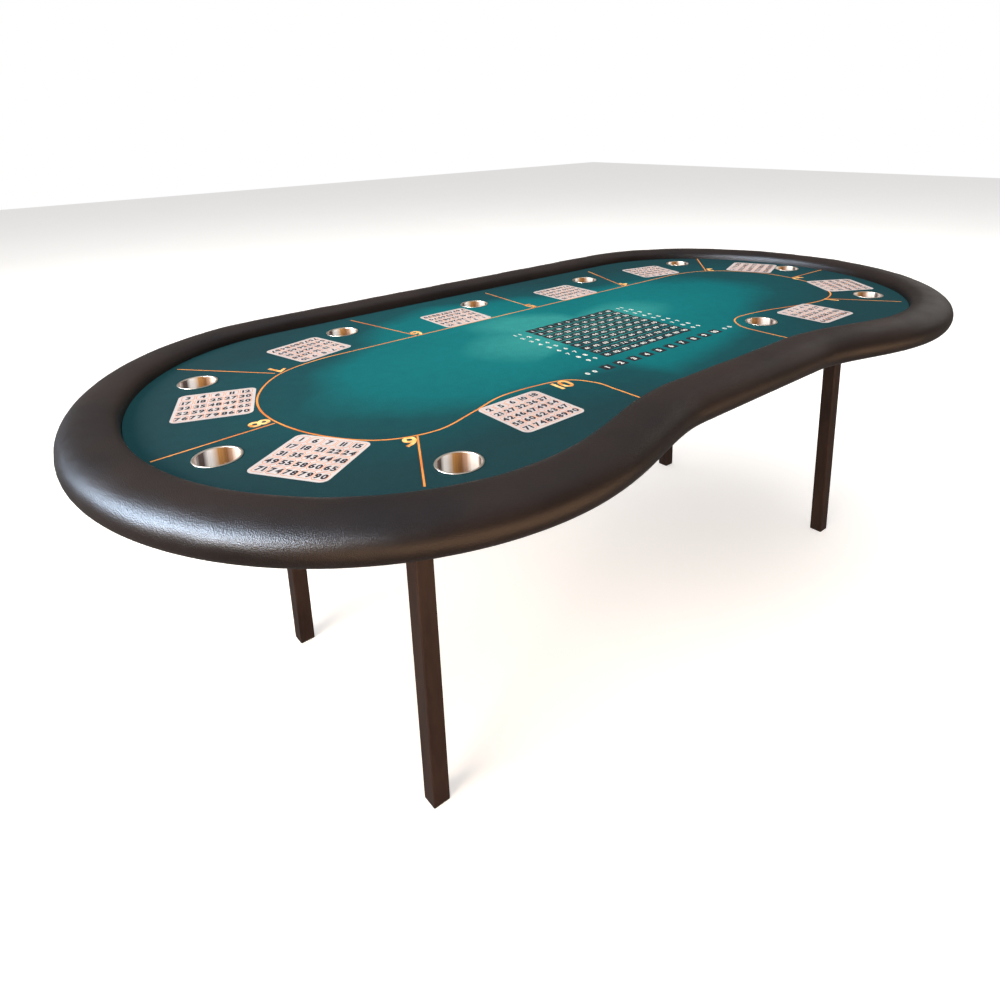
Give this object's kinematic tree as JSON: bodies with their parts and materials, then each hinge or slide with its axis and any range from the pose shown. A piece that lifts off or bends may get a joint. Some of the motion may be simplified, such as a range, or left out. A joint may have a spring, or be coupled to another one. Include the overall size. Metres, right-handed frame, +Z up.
{
  "type": "poker table",
  "caption": "Kidney-shaped poker table: padded vinyl rail, printed cloth, drop-in steel cups and four folding square-tube legs.",
  "frame": {"origin": "on the floor, under the middle of the top's outline", "axes": "+Z up, +X along the table, -Y towards the waisted dealer's side"},
  "size_m": [2.3318, 1.2648, 0.7865],
  "materials": {
    "black_vinyl": "dark brown-black pebble-grain upholstery vinyl, semi-gloss",
    "rail_foam": "cut upholstery foam",
    "underlay_foam": "thin closed-cell foam",
    "printed_cloth": "teal speed cloth with a printed layout, matt",
    "plywood": "raw birch plywood",
    "black_panel": "plywood stained black, satin",
    "cup_steel": "spun stainless steel, brushed round the wall",
    "leg_paint": "satin dark brown powder coat",
    "bracket_paint": "black powder coat",
    "zinc_steel": "zinc-plated",
    "knob_plastic": "black moulded plastic",
    "foot_plastic": "black moulded plastic"
  },
  "bodies": {
    "table_top": {"printed_felt": "printed_cloth", "foam_underlay": "underlay_foam", "playing_board": "plywood", "base_panel": "black_panel", "rail_cover": "black_vinyl", "rail_foam": "rail_foam", "rail_core": "plywood", "leg_bracket_front_left": "bracket_paint", "pivot_pin_front_left": "zinc_steel", "bracket_bolt_front_left_1": "zinc_steel", "bracket_bolt_front_left_2": "zinc_steel", "bracket_bolt_front_left_3": "zinc_steel", "bracket_bolt_front_left_4": "zinc_steel", "leg_bracket_front_right": "bracket_paint", "pivot_pin_front_right": "zinc_steel", "bracket_bolt_front_right_1": "zinc_steel", "bracket_bolt_front_right_2": "zinc_steel", "bracket_bolt_front_right_3": "zinc_steel", "bracket_bolt_front_right_4": "zinc_steel", "leg_bracket_back_left": "bracket_paint", "pivot_pin_back_left": "zinc_steel", "bracket_bolt_back_left_1": "zinc_steel", "bracket_bolt_back_left_2": "zinc_steel", "bracket_bolt_back_left_3": "zinc_steel", "bracket_bolt_back_left_4": "zinc_steel", "leg_bracket_back_right": "bracket_paint", "pivot_pin_back_right": "zinc_steel", "bracket_bolt_back_right_1": "zinc_steel", "bracket_bolt_back_right_2": "zinc_steel", "bracket_bolt_back_right_3": "zinc_steel", "bracket_bolt_back_right_4": "zinc_steel", "rail_bolt_1": "zinc_steel", "rail_bolt_2": "zinc_steel", "rail_bolt_3": "zinc_steel", "rail_bolt_4": "zinc_steel", "rail_bolt_5": "zinc_steel", "rail_bolt_6": "zinc_steel"},
    "cup_1": {"cup_1": "cup_steel"},
    "cup_2": {"cup_2": "cup_steel"},
    "cup_3": {"cup_3": "cup_steel"},
    "cup_4": {"cup_4": "cup_steel"},
    "cup_5": {"cup_5": "cup_steel"},
    "cup_6": {"cup_6": "cup_steel"},
    "cup_7": {"cup_7": "cup_steel"},
    "cup_8": {"cup_8": "cup_steel"},
    "cup_9": {"cup_9": "cup_steel"},
    "cup_10": {"cup_10": "cup_steel"},
    "leg_front_left": {"leg_tube_front_left": "leg_paint", "foot_plug_front_left": "foot_plastic"},
    "clamp_knob_front_left": {"clamp_knob_front_left": "knob_plastic"},
    "leg_front_right": {"leg_tube_front_right": "leg_paint", "foot_plug_front_right": "foot_plastic"},
    "clamp_knob_front_right": {"clamp_knob_front_right": "knob_plastic"},
    "leg_back_left": {"leg_tube_back_left": "leg_paint", "foot_plug_back_left": "foot_plastic"},
    "clamp_knob_back_left": {"clamp_knob_back_left": "knob_plastic"},
    "leg_back_right": {"leg_tube_back_right": "leg_paint", "foot_plug_back_right": "foot_plastic"},
    "clamp_knob_back_right": {"clamp_knob_back_right": "knob_plastic"}
  },
  "joints": [
    {"name": "lift_cup_1", "type": "slide", "parent": "table_top", "child": "cup_1", "axis": [0, 0, 1], "range_m": [0, 0.1]},
    {"name": "lift_cup_2", "type": "slide", "parent": "table_top", "child": "cup_2", "axis": [0, 0, 1], "range_m": [0, 0.1]},
    {"name": "lift_cup_3", "type": "slide", "parent": "table_top", "child": "cup_3", "axis": [0, 0, 1], "range_m": [0, 0.1]},
    {"name": "lift_cup_4", "type": "slide", "parent": "table_top", "child": "cup_4", "axis": [0, 0, 1], "range_m": [0, 0.1]},
    {"name": "lift_cup_5", "type": "slide", "parent": "table_top", "child": "cup_5", "axis": [0, 0, 1], "range_m": [0, 0.1]},
    {"name": "lift_cup_6", "type": "slide", "parent": "table_top", "child": "cup_6", "axis": [0, 0, 1], "range_m": [0, 0.1]},
    {"name": "lift_cup_7", "type": "slide", "parent": "table_top", "child": "cup_7", "axis": [0, 0, 1], "range_m": [0, 0.1]},
    {"name": "lift_cup_8", "type": "slide", "parent": "table_top", "child": "cup_8", "axis": [0, 0, 1], "range_m": [0, 0.1]},
    {"name": "lift_cup_9", "type": "slide", "parent": "table_top", "child": "cup_9", "axis": [0, 0, 1], "range_m": [0, 0.1]},
    {"name": "lift_cup_10", "type": "slide", "parent": "table_top", "child": "cup_10", "axis": [0, 0, 1], "range_m": [0, 0.1]},
    {"name": "fold_leg_front_left", "type": "hinge", "parent": "table_top", "child": "leg_front_left", "pos_m": [-0.692, -0.298, 0.664], "axis": [0, -1, 0], "range_deg": [0, 90]},
    {"name": "turn_knob_front_left", "type": "hinge", "parent": "table_top", "child": "clamp_knob_front_left", "pos_m": [-0.692, -0.323, 0.6795], "axis": [0, -1, 0], "range_deg": [0, 360]},
    {"name": "fold_leg_front_right", "type": "hinge", "parent": "table_top", "child": "leg_front_right", "pos_m": [0.745, -0.298, 0.664], "axis": [0, 1, 0], "range_deg": [0, 90]},
    {"name": "turn_knob_front_right", "type": "hinge", "parent": "table_top", "child": "clamp_knob_front_right", "pos_m": [0.745, -0.323, 0.6795], "axis": [0, -1, 0], "range_deg": [0, 360]},
    {"name": "fold_leg_back_left", "type": "hinge", "parent": "table_top", "child": "leg_back_left", "pos_m": [-0.692, 0.322, 0.664], "axis": [0, -1, 0], "range_deg": [0, 90]},
    {"name": "turn_knob_back_left", "type": "hinge", "parent": "table_top", "child": "clamp_knob_back_left", "pos_m": [-0.692, 0.347, 0.6795], "axis": [0, 1, 0], "range_deg": [0, 360]},
    {"name": "fold_leg_back_right", "type": "hinge", "parent": "table_top", "child": "leg_back_right", "pos_m": [0.745, 0.322, 0.664], "axis": [0, 1, 0], "range_deg": [0, 90]},
    {"name": "turn_knob_back_right", "type": "hinge", "parent": "table_top", "child": "clamp_knob_back_right", "pos_m": [0.745, 0.347, 0.6795], "axis": [0, 1, 0], "range_deg": [0, 360]}
  ]
}
